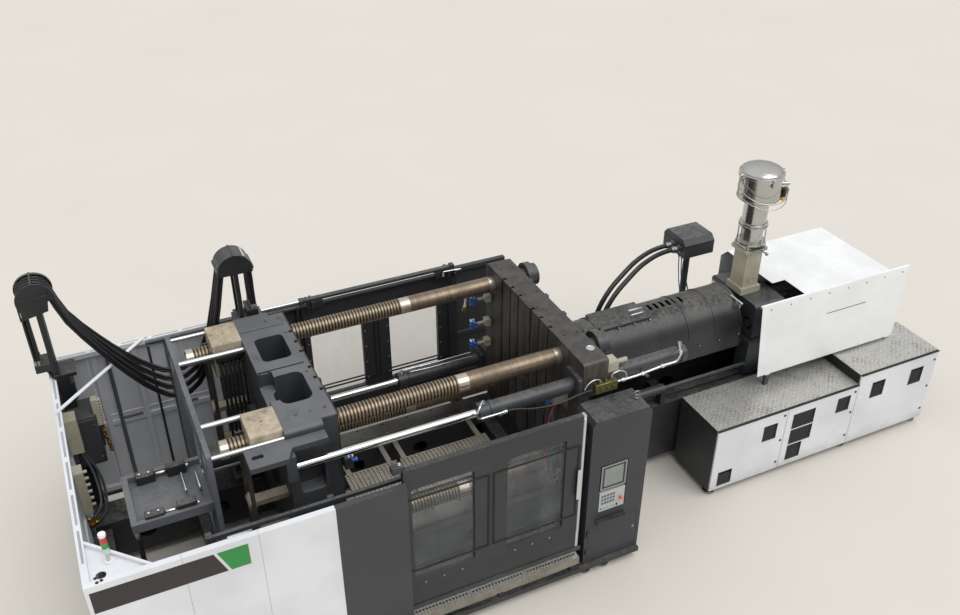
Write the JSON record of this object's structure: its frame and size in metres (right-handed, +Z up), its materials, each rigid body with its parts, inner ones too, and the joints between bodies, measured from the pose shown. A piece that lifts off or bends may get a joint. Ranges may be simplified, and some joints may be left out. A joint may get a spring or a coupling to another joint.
{
  "type": "injection moulding machine",
  "caption": "Two-platen hydraulic injection moulding machine with guarded clamp, grooved tie bars, split locking nuts, screw injection unit and pellet loader",
  "frame": {"origin": "centre of the bounding box on the floor", "axes": "+X from the clamp's end wall to the injection end, +Y away from the operator, +Z up"},
  "size_m": [10.62, 3.66, 3.7243],
  "materials": {
    "bed_black": "satin black enamel",
    "panel_white": "satin white powder coat",
    "panel_dark": "satin dark grey powder coat",
    "window": "clear polycarbonate",
    "worn_steel": "oiled machined steel",
    "tread_aluminium": "rolled tread plate",
    "platen_iron": "dark grey painted casting",
    "tie_bar_steel": "greased ground steel",
    "chrome_rod": "hard chrome",
    "housing_beige": "beige machinery paint",
    "hose_rubber": "black rubber",
    "screen_silver": "silver bezel",
    "keypad_grey": "light grey membrane",
    "button_orange": "orange moulded plastic",
    "button_green": "green moulded plastic",
    "knob_black": "black moulded plastic",
    "lamp_tower": "moulded lens sections",
    "stainless": "spun stainless sheet"
  },
  "bodies": {
    "machine": {"clamp_bed": "bed_black", "slide_rails": "worn_steel", "injection_bed": "bed_black", "levelling_feet": "worn_steel", "end_wall": "panel_white", "rear_wall": "panel_white", "white_panels": "panel_white", "dark_panels": "panel_dark", "door_rails": "bed_black", "step_tread": "tread_aluminium", "mould_tread": "worn_steel", "control_cabinet": "panel_dark", "control_screen": "screen_silver", "control_keypad": "keypad_grey", "fixed_platen": "platen_iron", "tie_bars_upper": "tie_bar_steel", "tie_bars_lower": "tie_bar_steel", "tie_bar_nuts": "platen_iron", "traverse_barrels": "bed_black", "hose_posts": "bed_black", "stack_light": "lamp_tower", "valve_blocks": "housing_beige", "lock_manifold": "bed_black", "carriage_cylinders": "bed_black", "junction_box": "panel_dark", "conduits": "hose_rubber", "side_guard": "panel_white", "deck_plates": "tread_aluminium"},
    "platen": {"moving_platen": "platen_iron", "nut_housings": "housing_beige", "traverse_rods": "chrome_rod", "rear_yoke": "platen_iron", "ejector_cylinder": "bed_black", "hose_saddle": "bed_black", "clamp_hoses": "hose_rubber"},
    "nut_front_outer": {"half_nuts_front_outer": "worn_steel"},
    "nut_front_inner": {"half_nuts_front_inner": "worn_steel"},
    "nut_rear_inner": {"half_nuts_rear_inner": "worn_steel"},
    "nut_rear_outer": {"half_nuts_rear_outer": "worn_steel"},
    "ejector": {"ejector_plate": "worn_steel"},
    "front_door": {"operator_door": "panel_dark", "operator_window": "window"},
    "far_door": {"rear_door": "panel_dark", "rear_window": "window"},
    "injection_unit": {"carriage": "bed_black", "barrel": "worn_steel", "barrel_guard": "bed_black", "drive_hood": "panel_white", "feed_throat": "housing_beige", "hopper_loader": "stainless"},
    "crosshead": {"injection_crosshead": "platen_iron"},
    "screw": {"screw": "worn_steel"},
    "gate": {"slide_gate": "worn_steel"},
    "lid": {"loader_lid": "stainless"},
    "cabinet_1": {"cabinet_door_1": "panel_white"},
    "cabinet_2": {"cabinet_door_2": "panel_white"},
    "cabinet_3": {"cabinet_door_3": "panel_white"},
    "stop_button": {"emergency_stop": "button_orange"},
    "cycle_button": {"start_button": "button_green"},
    "mode_knob": {"mode_switch": "knob_black"}
  },
  "joints": [
    {"name": "platen_travel", "type": "slide", "parent": "machine", "child": "platen", "axis": [1, 0, 0], "range_m": [0, 1.85], "deforming": ["clamp_hoses"]},
    {"name": "nut_front_outer_close", "type": "slide", "parent": "platen", "child": "nut_front_outer", "axis": [0, 1, 0], "range_m": [0, 0.046]},
    {"name": "nut_front_inner_close", "type": "slide", "parent": "platen", "child": "nut_front_inner", "axis": [0, -1, 0], "range_m": [0, 0.046]},
    {"name": "nut_rear_inner_close", "type": "slide", "parent": "platen", "child": "nut_rear_inner", "axis": [0, 1, 0], "range_m": [0, 0.046]},
    {"name": "nut_rear_outer_close", "type": "slide", "parent": "platen", "child": "nut_rear_outer", "axis": [0, -1, 0], "range_m": [0, 0.046]},
    {"name": "ejector_stroke", "type": "slide", "parent": "platen", "child": "ejector", "axis": [1, 0, 0], "range_m": [0, 0.3]},
    {"name": "operator_door_slide", "type": "slide", "parent": "machine", "child": "front_door", "axis": [-1, 0, 0], "range_m": [0, 1.85]},
    {"name": "rear_door_slide", "type": "slide", "parent": "machine", "child": "far_door", "axis": [-1, 0, 0], "range_m": [0, 1.85]},
    {"name": "carriage_travel", "type": "slide", "parent": "machine", "child": "injection_unit", "axis": [1, 0, 0], "range_m": [0, 0.45]},
    {"name": "injection_stroke", "type": "slide", "parent": "injection_unit", "child": "crosshead", "axis": [1, 0, 0], "range_m": [0, 0.45]},
    {"name": "screw_turn", "type": "hinge", "parent": "crosshead", "child": "screw", "pos_m": [1, 0, 1.69], "axis": [1, 0, 0], "continuous": true},
    {"name": "gate_slide", "type": "slide", "parent": "injection_unit", "child": "gate", "axis": [0, -1, 0], "range_m": [0, 0.19]},
    {"name": "lid_hinge", "type": "hinge", "parent": "injection_unit", "child": "lid", "pos_m": [2.723, 0, 3.6273], "axis": [0, -1, 0], "range_deg": [0, 100]},
    {"name": "cabinet_1_hinge", "type": "hinge", "parent": "machine", "child": "cabinet_1", "pos_m": [1.794, -1.342, 0.5], "axis": [0, 0, -1], "range_deg": [0, 110]},
    {"name": "cabinet_2_hinge", "type": "hinge", "parent": "machine", "child": "cabinet_2", "pos_m": [2.854, -1.342, 0.5], "axis": [0, 0, -1], "range_deg": [0, 110]},
    {"name": "cabinet_3_hinge", "type": "hinge", "parent": "machine", "child": "cabinet_3", "pos_m": [3.984, -1.342, 0.5], "axis": [0, 0, -1], "range_deg": [0, 110]},
    {"name": "emergency_stop_press", "type": "slide", "parent": "machine", "child": "stop_button", "axis": [0, 1, 0], "range_m": [0, 0.008], "stiffness_N_per_m": 900},
    {"name": "start_press", "type": "slide", "parent": "machine", "child": "cycle_button", "axis": [0, 1, 0], "range_m": [0, 0.005], "stiffness_N_per_m": 600},
    {"name": "mode_turn", "type": "hinge", "parent": "machine", "child": "mode_knob", "pos_m": [0.118, -1.75, 0.945], "axis": [0, 1, 0], "range_deg": [-45, 45]}
  ],
  "couplings": [
    {"joint": "nut_front_inner_close", "follows": "nut_front_outer_close", "ratio": 1},
    {"joint": "nut_rear_inner_close", "follows": "nut_front_outer_close", "ratio": 1},
    {"joint": "nut_rear_outer_close", "follows": "nut_front_outer_close", "ratio": 1}
  ]
}
